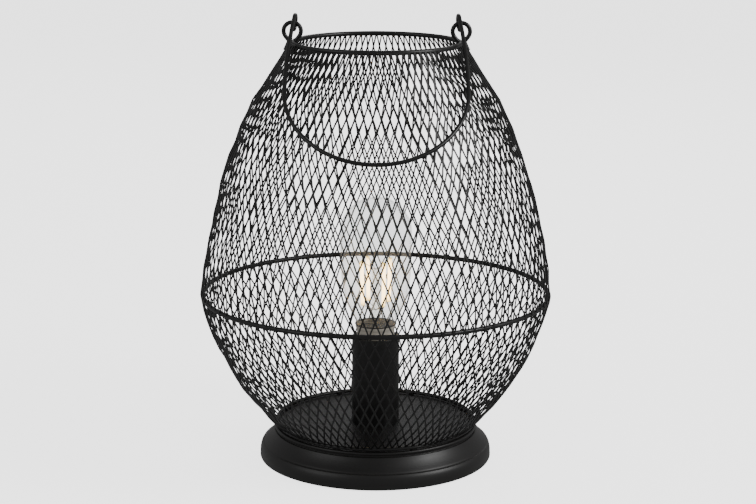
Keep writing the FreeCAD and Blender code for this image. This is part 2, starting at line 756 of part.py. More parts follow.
def bail_handle():
    """Wire handle that leans on the basket's front."""
    path = handle_path()
    handle = pipe(BAIL_WIRE_R, path)
    handle.rotate(V(0, 0, HINGE_Z), V(1, 0, 0), -resting_tilt(path))
    return handle


# ---- write every piece ----------------------------------------------------------------------

os.makedirs("parts", exist_ok=True)

plinth = plinth_shell()
export("plinth", [plinth])
export("bottom_cover", [bottom_cover()])
export("cover_screws", cover_screws())
export("rubber_feet", rubber_feet())
export("cord_bushing", [cord_bushing(plinth)])
export("threaded_nipple", [threaded_nipple()])
export("hex_nuts", hex_nuts())
export("washers", washers())
export("sleeve_tube", [sleeve_tube()])
export("lampholder_cap", [lampholder_cap()])
export("lampholder_body", [lampholder_body()])
export("lampholder_core", [lampholder_core()])
export("terminal_screws", terminal_screws())
export("screw_shell", [screw_shell()])
export("centre_contact", [centre_contact()])

export("bulb_tip_contact", [bulb_tip()])
export("bulb_insulator", [bulb_insulator()])
export("bulb_cap", [bulb_cap()])
export("bulb_collar", [bulb_collar()])
export("bulb_glass", [bulb_glass()])
stem = bulb_stem()
filaments = bulb_filaments()
export("bulb_stem", [stem])
export("bulb_filaments", filaments)
export("bulb_support_wires", support_wires(stem, filaments))

top_ring = wire_ring(TOP_RING_R, TOP_WIRE_R, TOP_RING_Z)
low_ring = wire_ring(LOW_RING_R, LOW_WIRE_R, LOW_RING_Z)
export("top_ring", [top_ring])
export("middle_ring", [wire_ring(MID_RING_R, MID_WIRE_R, MID_RING_Z)])
export("bottom_ring", [low_ring])
export("upper_mesh", [mesh_panel(upper_curve(), UPPER_ROWS, 1)])
export("lower_mesh", [mesh_panel(lower_curve(), LOWER_ROWS, -1)])
export("spacer_lugs", spacer_lugs())
seats = [top_ring, mesh_shell(upper_curve(), UPPER_ROWS, 1)]
export("eye_left", [wire_eye(-1, seats)])
export("eye_right", [wire_eye(1, seats)])
export("bail_handle", [bail_handle()])
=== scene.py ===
"""Visual model of a black wire-mesh lantern table lamp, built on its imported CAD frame.

Lengths are in metres unless a name or a comment says millimetres.
"""
import math

import bpy
from bpy.props import FloatProperty, FloatVectorProperty, IntProperty, PointerProperty
from mathutils import Euler, Matrix, Vector


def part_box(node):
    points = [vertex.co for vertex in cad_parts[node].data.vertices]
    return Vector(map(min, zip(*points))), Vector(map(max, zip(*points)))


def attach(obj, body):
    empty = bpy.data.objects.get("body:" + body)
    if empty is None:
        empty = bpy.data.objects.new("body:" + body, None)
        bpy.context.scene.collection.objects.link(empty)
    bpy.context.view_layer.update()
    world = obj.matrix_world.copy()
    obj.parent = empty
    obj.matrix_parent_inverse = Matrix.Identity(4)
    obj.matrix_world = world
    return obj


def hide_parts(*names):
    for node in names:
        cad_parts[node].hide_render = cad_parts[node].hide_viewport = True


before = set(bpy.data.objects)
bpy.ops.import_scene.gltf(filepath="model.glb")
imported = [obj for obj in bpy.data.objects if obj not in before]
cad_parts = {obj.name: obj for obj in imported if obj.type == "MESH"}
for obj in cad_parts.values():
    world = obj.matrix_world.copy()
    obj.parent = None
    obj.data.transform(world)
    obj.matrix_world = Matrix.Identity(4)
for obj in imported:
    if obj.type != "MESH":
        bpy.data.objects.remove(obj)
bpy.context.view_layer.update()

bl_info = {
    "name": "Wire mesh lantern lamp",
    "version": (1, 0, 0),
    "blender": (4, 5, 0),
    "location": "3D View > Sidebar > Lantern",
    "description": "Builds the visual model of a black mesh lantern table lamp on its CAD frame",
    "category": "Add Mesh",
}

MM = 0.001

# Facts of the CAD solids that their boxes don't tell.
CAD_RING_WIRE = 1.9 * MM     # radius of the top ring's wire
CAD_EYE_WIRE = 1.6 * MM      # radius of the eyes' wire
HOOK_INSET = 2.0 * MM        # from the top ring's wire inwards to a hook
NIPPLE_HOLE = 5.2 * MM       # radius of the hole for the threaded nipple

# The basket's outer face above and below the middle ring: radius and height from it, in mm.
UPPER_LINE = ((150.2, 40), (141.5, 80), (130.4, 120), (118.4, 150), (102.5, 180), (84.9, 205), (78.4, 214))
LOWER_LINE = ((144.6, -35), (130.6, -65), (114.2, -90), (96.0, -110))
UPPER_GROWTH = 0.05          # how much the upper rows grow towards the top ring
NET_TURN = math.radians(91.1)  # brings the openings to where the photograph shows them
OPENING_LIFT = 0.3 * MM      # lifts the middle of each opening on to the round face
STRETCH_SIZE = 35 * MM       # size of one patch of unevenness

# The glass from neck to widest place: shares of the widest radius and of the height between them.
GLASS_LINE = ((0.65, 0.155), (0.77, 0.24), (0.87, 0.335), (0.965, 0.55), (0.995, 0.8))
NECK = 17.4 * MM             # radius of the glass where it enters the collar
# The stem above its foot: radius and height, in mm.
STEM_LINE = ((16.4, 0.0), (16.4, 1.2), (13.0, 3.0), (8.6, 5.4), (5.2, 9.0), (3.6, 13.0), (3.2, 18.0))

# Name, place, aim, size and share of the main light's power.
LIGHTS = (("Key", (1.9, -0.75, 1.4), (0, 0, 0.1), (0.8, 1.0), 1.0),
          ("Fill", (-1.9, -1.2, 1.2), (0, 0, 0.2), (1.4, 1.4), 0.3),
          ("Rim", (0.3, 2.0, 1.7), (0, 0, 0.2), (1.6, 0.8), 0.35))
CAMERA_SIDE = 1.8 * MM       # the lamp's axis stands a little to the left in the photograph


# ---- sizes read from the frame ----------------------------------------------------------------

def middle(node):
    low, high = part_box(node)
    return [(a + b) / 2 for a, b in zip(low, high)]


def outer_radius(node):
    low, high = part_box(node)
    return (high[0] - low[0]) / 2


def top_of(node):
    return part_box(node)[1][2]


def under(node):
    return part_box(node)[0][2]


# ---- settings ---------------------------------------------------------------------------------

def length(name, description, default, low=0.0001, high=1.0):
    return FloatProperty(name=name, description=description, default=default, min=low, max=high,
                         unit="LENGTH", subtype="DISTANCE", precision=4)


def turn_of(name, description, default):
    return FloatProperty(name=name, description=description, default=default, subtype="ANGLE",
                         unit="ROTATION")


def colour(name, description, default):
    return FloatVectorProperty(name=name, description=description, default=default, size=3, min=0.0,
                               max=1.0, subtype="COLOR")


class BasketSettings(bpy.types.PropertyGroup):
    """Sizes and colour of the mesh basket."""
    diamonds: IntProperty(name="Diamonds round", description="Openings round the basket",
                          default=95, min=12, max=160)
    upper_rows: IntProperty(name="Upper rows", description="Rows of openings above the middle ring",
                            default=9, min=2, max=30)
    lower_rows: IntProperty(name="Lower rows", description="Rows of openings below the middle ring",
                            default=6, min=2, max=30)
    strand: length("Strand width", "Width of one strand of the mesh", 1.25 * MM)
    sheet: length("Strand depth", "Depth of one strand of the mesh", 0.7 * MM)
    stretch: length("Unevenness", "How far the stretched mesh strays from an even one", 4.2 * MM, low=0.0)
    belly: length("Belly", "Radius of the mesh at the middle ring", 154.9 * MM)
    ring_wire: length("Middle ring wire", "Radius of the middle ring's wire", 2.15 * MM)
    top_wire: length("Top ring wire", "Radius of the top ring's wire", 2.15 * MM)
    low_wire: length("Bottom ring wire", "Radius of the bottom ring's wire", 1.8 * MM)
    drop: length("Bottom ring drop", "How far the bottom ring sits below its CAD place", 1.7 * MM, low=0.0)
    paint: colour("Paint", "Colour of the black paint", (0.0045, 0.0043, 0.0042))


class HandleSettings(bpy.types.PropertyGroup):
    """Sizes of the handle and its eyes."""
    wire: length("Handle wire", "Radius of the handle's wire", 1.85 * MM)
    grip: length("Grip radius", "Radius of the round end", 77.0 * MM)
    leg: length("Leg", "Length from the hooks to the round end", 85.0 * MM)
    hook: length("Hook radius", "Radius of the hooks", 6.25 * MM)
    eye_wire: length("Eye wire", "Radius of the eyes' wire", 1.9 * MM)
    eye: length("Eye radius", "Radius of the eyes", 7.5 * MM)
    tilt: turn_of("Tilt", "Lean of the resting handle from the vertical", math.radians(48.8))


class FootSettings(bpy.types.PropertyGroup):
    """Sizes and colour of the plinth and the sleeve."""
    radius: length("Plinth radius", "Widest radius of the plinth", outer_radius("plinth"))
    wall: length("Plinth wall", "Thickness of the plinth's top", 2.4 * MM)
    fuller: length("Fullness", "Paint and rounding outside the CAD radii", 0.5 * MM)
    lip: length("Sleeve lip", "Rounding of the sleeve's mouth", 0.45 * MM)
    paint: colour("Paint", "Colour of the black paint", (0.0062, 0.0058, 0.0055))


class BulbSettings(bpy.types.PropertyGroup):
    """Sizes and light of the bulb."""
    radius: length("Bulb radius", "Widest radius of the glass", 32.0 * MM)
    wall: length("Glass wall", "Thickness of the glass", 0.8 * MM)
    pitch: length("Thread pitch", "Pitch of the screw cap", 3.62 * MM)
    cage: length("Filament circle", "Radius of the circle that the filaments stand on", 14.0 * MM)
    filament: length("Filament radius", "Radius of one filament", 1.7 * MM)
    lead: length("Support wire", "Radius of the wires that hold the filaments", 0.35 * MM)
    collar_rise: length("Collar rise", "How far the collar reaches up round the glass", 4.2 * MM)
    collar: colour("Collar", "Colour of the collar's wall", (0.70, 0.65, 0.56))
    glow: FloatProperty(name="Glow", description="Strength of the filaments' light", default=9.0, min=0.0,
                        max=500.0)
    glow_colour: colour("Glow colour", "Colour of the filaments' light", (1.0, 0.70, 0.34))


class StageSettings(bpy.types.PropertyGroup):
    """Floor, lights and camera."""
    floor: colour("Floor", "Colour of the floor", (0.90, 0.90, 0.90))
    sky: FloatProperty(name="Sky", description="Strength of the even light", default=0.3, min=0.0, max=10.0)
    shine: FloatProperty(name="Floor light", description="Light that the floor gives off", default=2.4,
                         min=0.0, max=20.0)
    key: FloatProperty(name="Key light", description="Power of the main light", default=30.0, min=0.0,
                       max=5000.0, subtype="POWER", unit="POWER")
    distance: length("Distance", "From the camera to the lamp's axis, level", 1.6903, high=10.0)
    height: length("Height", "Of the camera above the floor", 0.5715, high=10.0)
    pitch: turn_of("Pitch", "Downward tilt of the camera", 0.2237)
    roll: turn_of("Roll", "Turn of the camera about its view", 0.004)
    lens: FloatProperty(name="Lens", description="Focal length", default=93.2, min=10.0, max=300.0,
                        unit="CAMERA")


class LanternSettings(bpy.types.PropertyGroup):
    """All the settings of the lamp."""
    basket: PointerProperty(type=BasketSettings)
    handle: PointerProperty(type=HandleSettings)
    foot: PointerProperty(type=FootSettings)
    bulb: PointerProperty(type=BulbSettings)
    stage: PointerProperty(type=StageSettings)


# ---- lines of (radius, height) places ---------------------------------------------------------

def arc_places(centre, radius, first, last, count):
    """Places on a circular arc, angles in degrees."""
    places = []
    for i in range(count + 1):
        a = math.radians(first + (last - first) * i / count)
        places.append((centre[0] + radius * math.cos(a), centre[1] + radius * math.sin(a)))
    return places


def smooth_places(knots, steps):
    """Places on a smooth line through the knots."""
    ends = [knots[0]] + list(knots) + [knots[-1]]
    places = []
    for i in range(1, len(ends) - 2):
        p0, p1, p2, p3 = ends[i - 1:i + 3]
        for k in range(steps):
            t = k / steps
            spot = []
            for a, b, c, d in zip(p0, p1, p2, p3):
                curve = 2 * a - 5 * b + 4 * c - d + t * (3 * (b - c) + d - a)
                spot.append(b + 0.5 * t * (c - a + t * curve))
            places.append(tuple(spot))
    return places + [tuple(knots[-1])]


def graded_places(places, count, growth):
    """Places along a line at steps that grow towards its end."""
    reach = [0.0]
    for a, b in zip(places, places[1:]):
        reach.append(reach[-1] + math.dist(a, b))
    result = []
    at = 0
    for i in range(count + 1):
        u = i / count
        goal = reach[-1] * (u + growth * u ** 6) / (1 + growth)
        while at < len(reach) - 2 and reach[at + 1] < goal:
            at += 1
        t = (goal - reach[at]) / (reach[at + 1] - reach[at])
        result.append(tuple(a + (b - a) * t for a, b in zip(places[at], places[at + 1])))
    return result


# ---- modelling helpers ------------------------------------------------------------------------

def deselect():
    bpy.ops.object.select_all(action="DESELECT")


def edit(mode="VERT"):
    bpy.ops.object.mode_set(mode="EDIT")
    bpy.ops.mesh.select_mode(type=mode)
    bpy.ops.mesh.select_all(action="SELECT")


def fill_ends():
    """Close every open edge of the mesh that is being edited."""
    bpy.ops.mesh.select_all(action="SELECT")
    bpy.ops.mesh.fill_holes(sides=0)


def finish_mesh(name, smooth=35.0):
    """Turn the faces outwards, bring the object's own transform into its mesh, shade and name it."""
    bpy.ops.mesh.select_all(action="SELECT")
    bpy.ops.mesh.normals_make_consistent(inside=False)
    bpy.ops.object.mode_set(mode="OBJECT")
    obj = bpy.context.object
    bpy.ops.object.transform_apply(location=True, rotation=True, scale=True)
    bpy.ops.object.shade_smooth_by_angle(angle=math.radians(smooth))
    obj.name = name
    obj.data.name = name
    return obj


def apply_modifier(kind, **settings):
    """Add one modifier to the active object and apply it."""
    bpy.ops.object.modifier_add(type=kind)
    modifier = bpy.context.object.modifiers[-1]
    for key, value in settings.items():
        setattr(modifier, key, value)
    bpy.ops.object.modifier_apply(modifier=modifier.name)


def draw_rings(places, sides):
    """In edit mode, a circle drawn through each place in turn."""
    deselect()
    r, z = places[0]
    bpy.ops.mesh.primitive_circle_add(vertices=sides, radius=r, location=(0, 0, z))
    bpy.ops.object.transform_apply(location=True, rotation=True, scale=True)
    edit()
    for new_r, new_z in places[1:]:
        bpy.ops.mesh.extrude_region_move(TRANSFORM_OT_translate={"value": (0, 0, new_z - z)})
        factor = new_r / r
        bpy.ops.transform.resize(value=(factor, factor, 1), center_override=(0, 0, new_z))
        r, z = new_r, new_z


def lathe(name, places, sides, smooth):
    """Turned piece. An outline that ends where it starts is welded, any other gets flat end discs."""
    draw_rings(places, sides)
    if places[0] == places[-1]:
        bpy.ops.mesh.select_all(action="SELECT")
        bpy.ops.mesh.remove_doubles(threshold=1e-6)
    else:
        fill_ends()
    return finish_mesh(name, smooth)


def wire_start(radius, spot, along, sides=14):
    """In edit mode, the round section of a wire, square to its run."""
    deselect()
    turn = Vector(along).to_track_quat("Z", "Y").to_euler()
    bpy.ops.mesh.primitive_circle_add(vertices=sides, radius=radius, location=spot, rotation=turn)
    bpy.ops.object.transform_apply(location=True, rotation=True, scale=True)
    edit()


def wire_turn(centre, axis, angle, steps):
    """Bend the wire on about an axis. Without a window, spin turns the other way."""
    bpy.ops.mesh.spin(steps=steps, angle=-angle, center=centre, axis=axis)


def wire_run(way):
    bpy.ops.mesh.extrude_region_move(TRANSFORM_OT_translate={"value": way})


def rod(start, end, radius, sides):
    """Straight closed piece of wire."""
    wire_start(radius, start, end - start, sides)
    wire_run(end - start)
    fill_ends()
    return finish_mesh("rod", 50)


def join(name, pieces):
    """One object from several."""
    deselect()
    for obj in pieces:
        obj.select_set(True)
    bpy.context.view_layer.objects.active = pieces[0]
    bpy.ops.object.join()
    bpy.context.object.name = name
    return bpy.context.object


# ---- materials --------------------------------------------------------------------------------

class Value:
    """A shader socket that can be added, multiplied and so on."""

    def __init__(self, tree, socket):
        self.tree = tree
        self.socket = socket

    def math(self, operation, a, b):
        return self.tree.node("ShaderNodeMath", {"operation": operation}, a, b)

    def __add__(self, other):
        return self.math("ADD", self, other)

    def __radd__(self, other):
        return self.math("ADD", other, self)

    def __sub__(self, other):
        return self.math("SUBTRACT", self, other)

    def __rsub__(self, other):
        return self.math("SUBTRACT", other, self)

    def __mul__(self, other):
        return self.math("MULTIPLY", self, other)

    def __rmul__(self, other):
        return self.math("MULTIPLY", other, self)

    def __truediv__(self, other):
        return self.math("DIVIDE", self, other)

    def __rtruediv__(self, other):
        return self.math("DIVIDE", other, self)

    def __pow__(self, other):
        return self.math("POWER", self, other)

    def __rpow__(self, other):
        return self.math("POWER", other, self)


class Shade:
    """The node tree of one material."""

    def __init__(self, name):
        self.material = bpy.data.materials.new(name)
        self.material.use_nodes = True
        self.nodes = self.material.node_tree.nodes
        self.links = self.material.node_tree.links
        self.nodes.clear()

    def node(self, kind, settings, *inputs, out=0, **named):
        """Make a node. settings are its own properties, inputs fill its sockets in order or by name."""
        made = self.nodes.new(kind)
        for key, value in settings.items():
            setattr(made, key, value)
        sockets = dict(enumerate(inputs))
        sockets.update({key.replace("_", " "): value for key, value in named.items()})
        for key, value in sockets.items():
            if isinstance(value, Value):
                self.links.new(value.socket, made.inputs[key])
            else:
                made.inputs[key].default_value = value
        return Value(self, made.outputs[out]) if made.outputs else None

    def where(self):
        return self.node("ShaderNodeTexCoord", {}, out="Object")

    def height(self):
        return self.node("ShaderNodeSeparateXYZ", {}, self.where(), out="Z")

    def radius(self):
        """Distance from the lamp's axis."""
        flat = self.node("ShaderNodeMapping", {}, self.where(), Scale=(1, 1, 0))
        return self.node("ShaderNodeVectorMath", {"operation": "LENGTH"}, flat, out="Value")

    def noise(self, scale, detail=2.0, rough=0.5):
        """Even noise between 0 and 1. scale counts per metre."""
        return self.node("ShaderNodeTexNoise", {}, Vector=self.where(), Scale=scale, Detail=detail,
                         Roughness=rough)

    def mix_colour(self, factor, a, b):
        return self.node("ShaderNodeMixRGB", {}, factor, a, b)

    def bump(self, height, distance, strength=0.5):
        return self.node("ShaderNodeBump", {}, Strength=strength, Distance=distance, Height=height)

    def surface(self, shader):
        self.node("ShaderNodeOutputMaterial", {}, Surface=shader)
        return self.material

    def plain_surface(self, tone, roughness, **more):
        """The material, with one Principled shader."""
        return self.surface(self.node("ShaderNodeBsdfPrincipled", {}, Base_Color=tone, Roughness=roughness,
                                      **more))


def rgba(hue, factor=1.0):
    return tuple(min(1.0, c * factor) for c in hue[:3]) + (1.0,)


def swing(noise, spread):
    """Noise made to swing about nought, by spread from end to end."""
    return (noise - 0.5) * spread


def paint(name, base, rough=0.42, grain=0.06 * MM, spread=0.14, dust=1.7):
    """Black paint: patchy sheen, a fine grain and a touch of dust."""
    tree = Shade(name)
    patches = tree.noise(28.0, detail=3.0, rough=0.6)
    fine = tree.noise(900.0)
    tone = tree.mix_colour(patches, rgba(base), rgba(base, dust))
    sheen = swing(patches, spread) + swing(fine, 0.08) + rough
    return tree.plain_surface(tone, sheen, Normal=tree.bump(fine, grain))


def metal(name, base, rough):
    """Bare metal with fine wear."""
    tree = Shade(name)
    wear = tree.noise(160.0, detail=4.0, rough=0.6)
    fine = tree.noise(1500.0)
    tone = tree.mix_colour(wear, rgba(base, 0.8), rgba(base))
    return tree.plain_surface(tone, swing(wear, 0.2) + rough, Metallic=1.0,
                              Normal=tree.bump(fine, 0.02 * MM, strength=0.4))


def moulded(name, base, rough):
    """Plastic, rubber or ceramic with a fine skin."""
    tree = Shade(name)
    cloud = tree.noise(60.0, detail=3.0)
    fine = tree.noise(1800.0)
    tone = tree.mix_colour(cloud, rgba(base, 0.88), rgba(base, 1.08))
    return tree.plain_surface(tone, swing(cloud, 0.15) + rough, Normal=tree.bump(fine, 0.03 * MM))


def clear_glass(name, tint, veil):
    """Thin glass: mostly clear, and more mirror-like where it turns away from the eye."""
    tree = Shade(name)
    edge = tree.node("ShaderNodeLayerWeight", {}, Blend=0.35, out="Facing")
    cloud = tree.noise(45.0, detail=3.0)
    clear = tree.node("ShaderNodeBsdfTransparent", {}, Color=rgba(tint))
    film = tree.node("ShaderNodeBsdfPrincipled", {}, Base_Color=rgba((0.8, 0.8, 0.8)), Roughness=0.04)
    share = edge ** 3.0 * 0.4 + veil + swing(cloud, 0.02)
    return tree.surface(tree.node("ShaderNodeMixShader", {}, share, clear, film))


def collar_plastic_with_painted_shade(name, base, rim, wall):
    """Cloudy plastic, with painted shade on the collar's top and inside: dark above the rim's height and
    inside the wall's radius.
    """
    tree = Shade(name)
    cloud = tree.noise(90.0, detail=3.0, rough=0.6)
    above = tree.node("ShaderNodeMath", {"operation": "GREATER_THAN"}, tree.height(), rim)
    inside = tree.node("ShaderNodeMath", {"operation": "LESS_THAN"}, tree.radius(), wall)
    tone = tree.mix_colour(cloud, rgba(base, 0.6), rgba(base, 1.2))
    # Painted shade: a dark tone above the rim's height and within the wall's radius.
    tone = tree.mix_colour(above + inside, tone, rgba((0.035, 0.032, 0.03)))
    return tree.plain_surface(tone, swing(cloud, 0.15) + 0.5)


def filament_glow(name, hue, strength, low, high):
    """Coated filament that shines: cream along its length, dimmer and yellow at its ends."""
    tree = Shade(name)
    off = (tree.height() - (low + high) / 2) / ((high - low) / 2)
    end = tree.node("ShaderNodeMath", {"operation": "ABSOLUTE"}, off) ** 7.0
    tone = tree.mix_colour(end, rgba(hue), rgba((0.14, 0.10, 0.003)))
    return tree.plain_surface(rgba((0.9, 0.55, 0.15)), 0.6, Emission_Color=tone, Emission_Strength=strength)


def studio_floor(name, hue, shine):
    """Pale floor that gives off an even light of its own."""
    tree = Shade(name)
    tone = tree.mix_colour(tree.noise(1.2), rgba(hue, 0.995), rgba(hue, 1.005))
    return tree.plain_surface(tone, 0.85, Emission_Color=rgba((1.0, 1.0, 1.0)), Emission_Strength=shine)


def give(obj, material):
    obj.data.materials.clear()
    obj.data.materials.append(material)


def dress(obj, material, body, node):
    """Give a piece its material and let it ride on its body in place of the CAD node it stands for."""
    give(obj, material)
    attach(obj, body)
    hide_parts(node)


def dress_nodes(material, *nodes):
    """Give CAD nodes that are shown as they are their material."""
    for node in nodes:
        give(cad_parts[node], material)


# ---- pieces -----------------------------------------------------------------------------------

class LANTERN_OT_foot(bpy.types.Operator):
    """The moulded plinth, its cover, feet, screws and cord bushing."""
    bl_idname = "lantern.foot"
    bl_label = "Plinth"
    bl_options = {"REGISTER", "UNDO"}

    def outline(self, r, top, wall):
        """Closed outline, up the outside and back within. Pairs are mm outside r and mm above the table."""
        def out(*pairs):
            return [(r + a * MM, b * MM) for a, b in pairs]

        lip = r - 17.0 * MM
        edge = out((-1.0, 0.9), (-0.35, 1.1), (0.0, 1.9))
        band = smooth_places(out((-0.02, 2.6), (-0.25, 7.5), (-1.1, 11.4), (-2.4, 13.8)), 4)
        step = out((-3.6, 14.2), (-4.1, 14.7))
        slope = smooth_places(out((-4.4, 15.2), (-7.9, 18.8), (-10.9, 22.6), (-12.9, 26.0)), 4)
        groove = out((-13.2, 26.15), (-14.4, 26.2), (-14.55, 26.4), (-14.55, 26.95))
        bead = arc_places((r - 14.5 * MM, top - 1.5 * MM), 1.5 * MM, -90, 90, 10)
        disc = [(lip, top), (NIPPLE_HOLE, top), (NIPPLE_HOLE, top - wall), (lip, top - wall)]
        hollow = out((-6.6, 13.8), (-4.8, 11.8), (-4.8, 0.9))
        return edge + band + step + slope + groove + bead + disc + hollow + edge[:1]

    def execute(self, context):
        s = context.scene.lantern.foot
        top = under("spacer_lugs") + 0.8 * MM
        outline = self.outline(s.radius + s.fuller, top, s.wall)
        obj = lathe("moulded_plinth", outline, sides=192, smooth=28)
        coat = paint("plinth paint", s.paint, 0.43, grain=0.08 * MM, spread=0.12, dust=1.5)
        dress(obj, coat, "lamp", "plinth")
        dress_nodes(paint("cover paint", s.paint, 0.55), "bottom_cover")
        dress_nodes(moulded("foot rubber", (0.018, 0.018, 0.018), 0.75), "rubber_feet")
        dress_nodes(moulded("bushing plastic", (0.016, 0.016, 0.016), 0.5), "cord_bushing")
        dress_nodes(metal("zinc", (0.62, 0.62, 0.6), 0.36),
                    "cover_screws", "threaded_nipple", "hex_nuts", "washers")
        return {"FINISHED"}


class LANTERN_OT_sleeve(bpy.types.Operator):
    """The sleeve and the lampholder inside it."""
    bl_idname = "lantern.sleeve"
    bl_label = "Sleeve and lampholder"
    bl_options = {"REGISTER", "UNDO"}

    def execute(self, context):
        s = context.scene.lantern.foot
        low, top = under("sleeve_tube"), top_of("sleeve_tube")
        wall, bottom = 1.1 * MM, 1.5 * MM
        r = outer_radius("sleeve_tube") + s.fuller
        inner = outer_radius("sleeve_tube") - wall
        lip, small = s.lip, s.lip * 0.6
        places = [(r, low), (r, top - lip)]
        places += arc_places((r - lip, top - lip), lip, 15, 90, 5)
        places += arc_places((inner + small, top - small), small, 90, 180, 4)
        places += [(inner, low + bottom), (NIPPLE_HOLE, low + bottom), (NIPPLE_HOLE, low), (r, low)]
        obj = lathe("sleeve_shell", places, sides=96, smooth=30)
        dress(obj, paint("sleeve paint", s.paint, 0.4), "lamp", "sleeve_tube")
        dress_nodes(moulded("lampholder plastic", (0.02, 0.02, 0.02), 0.3),
                    "lampholder_body", "lampholder_cap")
        dress_nodes(moulded("lampholder ceramic", (0.72, 0.69, 0.62), 0.25), "lampholder_core")
        dress_nodes(metal("brass", (0.72, 0.5, 0.22), 0.3),
                    "screw_shell", "centre_contact", "terminal_screws")
        return {"FINISHED"}


class LANTERN_OT_bulb(bpy.types.Operator):
    """The bulb: glass, stem, glowing filaments, collar and screw cap."""
    bl_idname = "lantern.bulb"
    bl_label = "Bulb"
    bl_options = {"REGISTER", "UNDO"}

    def glass(self, s):
        foot = under("bulb_glass")
        crown = top_of("bulb_glass") - s.radius
        body = crown - foot

        def side(inset):
            knots = [(NECK - inset, foot), (NECK - inset, foot + body * 0.06)]
            knots += [(s.radius * a - inset, foot + body * h) for a, h in GLASS_LINE]
            knots.append((s.radius - inset, crown))
            dome = arc_places((0, crown), s.radius - inset, 0, 89, 18)
            return knots[:1] + smooth_places(knots[1:], 5) + dome[1:]

        outer = side(0.0)
        obj = lathe("bulb_glass_outer", outer + side(s.wall)[::-1] + outer[:1], sides=72, smooth=60)
        dress(obj, clear_glass("bulb glass", (0.96, 0.963, 0.965), 0.08), "bulb", "bulb_glass")

    def stem(self):
        low, top = under("bulb_stem"), top_of("bulb_stem")
        tip = STEM_LINE[-1][0] * MM
        places = [(0.2 * MM, low)] + smooth_places([(a * MM, low + h * MM) for a, h in STEM_LINE], 3)
        places.append((tip, top - 2.5 * MM))
        places += arc_places((0, top - tip), tip, 12, 88, 6)
        obj = lathe("bulb_glass_stem", places, sides=40, smooth=60)
        dress(obj, clear_glass("stem glass", (0.9, 0.9, 0.88), 0.06), "bulb", "bulb_stem")

    def filaments(self, s):
        """Four leaning filaments, each held by a wire from the stem's foot and one from its top."""
        low, high = under("bulb_filaments"), top_of("bulb_filaments")
        lean = 0.6 * MM
        foot = Vector((0, 0, low - 6.0 * MM))
        head = Vector((0, 0, top_of("bulb_stem") - 1.0 * MM))
        rods, leads = [], []
        for i in range(4):
            a = math.radians(30 + 90 * i)
            out = Vector((math.cos(a), math.sin(a), 0))
            start = out * (s.cage - lean) + Vector((0, 0, low + 0.1 * MM))
            end = out * (s.cage + lean) + Vector((0, 0, high - 0.1 * MM))
            rods.append(rod(start, end, s.filament, sides=16))
            leads.append(rod(foot, start, s.lead, sides=8))
            leads.append(rod(head, end, s.lead, sides=8))
        dress(join("glowing_filaments", rods),
              filament_glow("filament glow", s.glow_colour, s.glow, low, high), "bulb", "bulb_filaments")
        dress(join("support_wires", leads), metal("lead wire", (0.6, 0.58, 0.55), 0.35),
              "bulb", "bulb_support_wires")

    def collar(self, s):
        """A ring round the cap's edge with a thin cup that rises round the glass."""
        low, top = under("bulb_collar"), top_of("bulb_collar")
        r = outer_radius("bulb_collar")
        hole = 12.5 * MM
        cup = NECK + 0.1 * MM
        rim = top + s.collar_rise
        pale = 16.3 * MM  # only the wall outside this radius is pale; within it lies the painted shade
        places = [(hole, low), (r - 1.4 * MM, low), (r - 0.4 * MM, low + 0.6 * MM), (r, low + 1.8 * MM),
                  (r, top - 0.5 * MM), (cup + 0.4 * MM, top + 0.8 * MM), (cup + 0.5 * MM, rim - 1.0 * MM),
                  (cup + 1.1 * MM, rim - 0.4 * MM), (cup + 1.0 * MM, rim), (cup, rim), (cup, top),
                  (hole, top), (hole, low)]
        obj = lathe("bulb_band", places, sides=64, smooth=35)
        # The collar's top and inside get painted shade from the dark tone of its material.
        dress(obj, collar_plastic_with_painted_shade("collar plastic with painted shade", s.collar, rim - 1.1 * MM, pale), "bulb", "bulb_collar")

    def cap(self, s):
        """The metal cap with three turns of rolled thread."""
        low, top = under("bulb_cap"), top_of("bulb_cap")
        root, neck, hole = 12.3 * MM, 11.7 * MM, 11.0 * MM
        shoulder = low + 1.4 * MM
        places = [(hole, low), (neck, low), (root, shoulder), (root, top), (neck, top), (neck, shoulder),
                  (hole, low)]
        shell = lathe("bulb_screw_cap", places, sides=64, smooth=35)
        deselect()
        bpy.ops.mesh.primitive_circle_add(vertices=12, radius=0.78 * MM, rotation=(math.pi / 2, 0, 0),
                                          location=(root, 0, low + 2.4 * MM))
        bpy.ops.object.transform_apply(location=True, rotation=True, scale=True)
        apply_modifier("SCREW", angle=2 * math.pi, screw_offset=s.pitch, iterations=3, steps=64,
                       render_steps=64, use_merge_vertices=False)
        edit()
        fill_ends()
        thread = finish_mesh("cap_thread", 50)
        obj = join("bulb_screw_cap", [shell, thread])
        dress(obj, metal("cap metal", (0.76, 0.75, 0.72), 0.25), "bulb", "bulb_cap")

    def execute(self, context):
        s = context.scene.lantern.bulb
        self.glass(s)
        self.stem()
        self.filaments(s)
        self.collar(s)
        self.cap(s)
        dress_nodes(moulded("insulator", (0.012, 0.012, 0.016), 0.12), "bulb_insulator")
        dress_nodes(metal("tip metal", (0.66, 0.63, 0.58), 0.3), "bulb_tip_contact")
        return {"FINISHED"}


